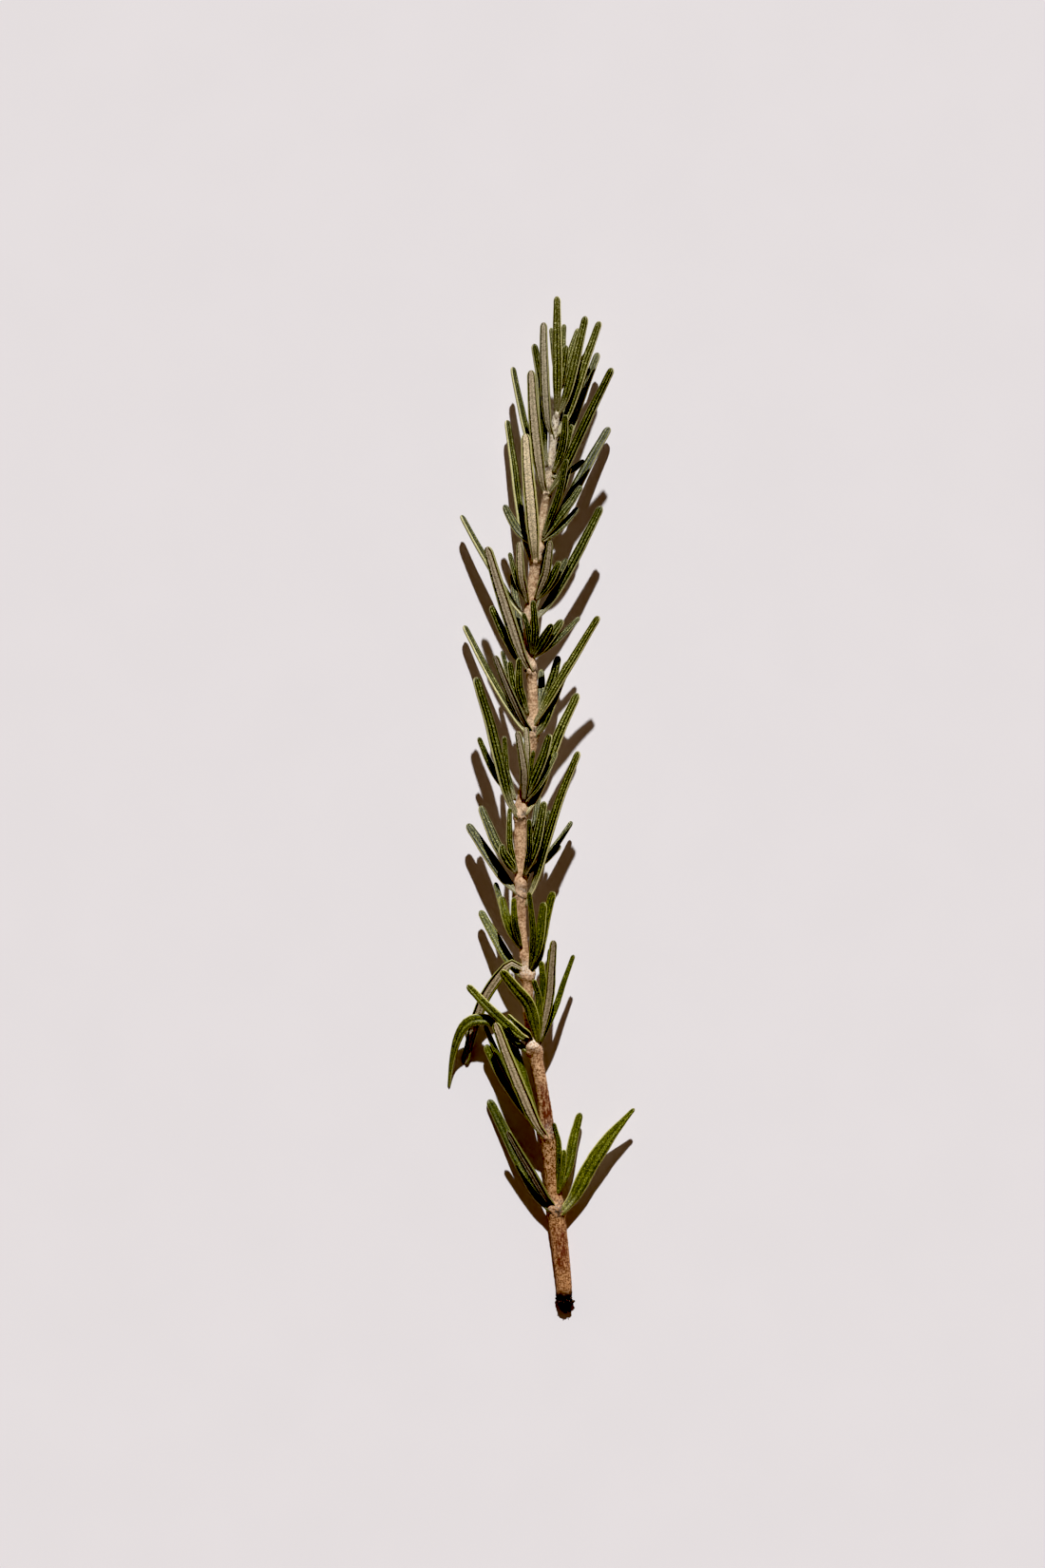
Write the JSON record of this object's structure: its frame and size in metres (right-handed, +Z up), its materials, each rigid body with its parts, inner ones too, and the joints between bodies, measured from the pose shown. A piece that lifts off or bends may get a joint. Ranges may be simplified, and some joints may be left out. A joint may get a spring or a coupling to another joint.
{
  "type": "rosemary sprig",
  "caption": "Cut rosemary sprig lying on its side: a thin woody stem with narrow needle-like leaves and small leafy side shoots.",
  "frame": {"origin": "on the table, under the middle of the sprig's footprint", "axes": "+Y from the cut end to the growing tip, +Z up from the table, +X to the right seen from above"},
  "size_m": [0.0328, 0.1764, 0.015],
  "materials": {
    "bark": "dry, downy grey-brown bark, darker and torn at the cut end",
    "old_leaf": "leathery dark olive green above, pale felted underside",
    "leaf": "leathery olive green above with fine speckles, pale felted underside",
    "young_leaf": "softer yellow-green leaf of the growing tip, pale underside"
  },
  "bodies": {
    "root": {"stem": "bark", "leaf_01_front": "old_leaf", "leaf_01_left": "old_leaf", "leaf_01_right": "old_leaf", "leaf_02_front": "old_leaf", "leaf_02_left": "old_leaf", "leaf_02_under": "old_leaf", "leaf_03_drooping": "old_leaf", "leaf_03_left": "old_leaf", "leaf_04_bent": "old_leaf", "leaf_04_left": "old_leaf", "leaf_04_right": "old_leaf", "leaf_05_left": "leaf", "leaf_05_right": "leaf", "leaf_05_under": "leaf", "leaf_06_left": "leaf", "leaf_06_right": "leaf", "leaf_07_front": "leaf", "leaf_07_high": "leaf", "leaf_07_left": "leaf", "leaf_07_right": "leaf", "leaf_08_front": "leaf", "leaf_08_left": "leaf", "leaf_08_under": "leaf", "leaf_09_left": "leaf", "leaf_09_right": "leaf", "leaf_09_under": "leaf", "leaf_10_front": "leaf", "leaf_10_left": "leaf", "leaf_10_right": "leaf", "leaf_11_front": "leaf", "leaf_11_left": "leaf", "leaf_11_right": "leaf", "leaf_11_under": "leaf", "leaf_12_left": "young_leaf", "leaf_12_right": "young_leaf", "leaf_13_front": "young_leaf", "leaf_13_high": "young_leaf", "leaf_13_left": "young_leaf", "leaf_13_right": "young_leaf", "shoot_01_right": "old_leaf", "shoot_02_left": "old_leaf", "shoot_03_left": "old_leaf", "shoot_03_right": "old_leaf", "shoot_04_left": "old_leaf", "shoot_04_right": "old_leaf", "shoot_05_left": "leaf", "shoot_05_low": "leaf", "shoot_05_right": "leaf", "shoot_06_left": "leaf", "shoot_06_right": "leaf", "shoot_07_left": "leaf", "shoot_07_right": "leaf", "shoot_08_right": "leaf", "shoot_09_left": "leaf", "shoot_09_right": "leaf", "shoot_10_left": "leaf", "shoot_10_right": "leaf", "shoot_11_right": "leaf", "shoot_13_tip": "young_leaf"}
  },
  "joints": []
}
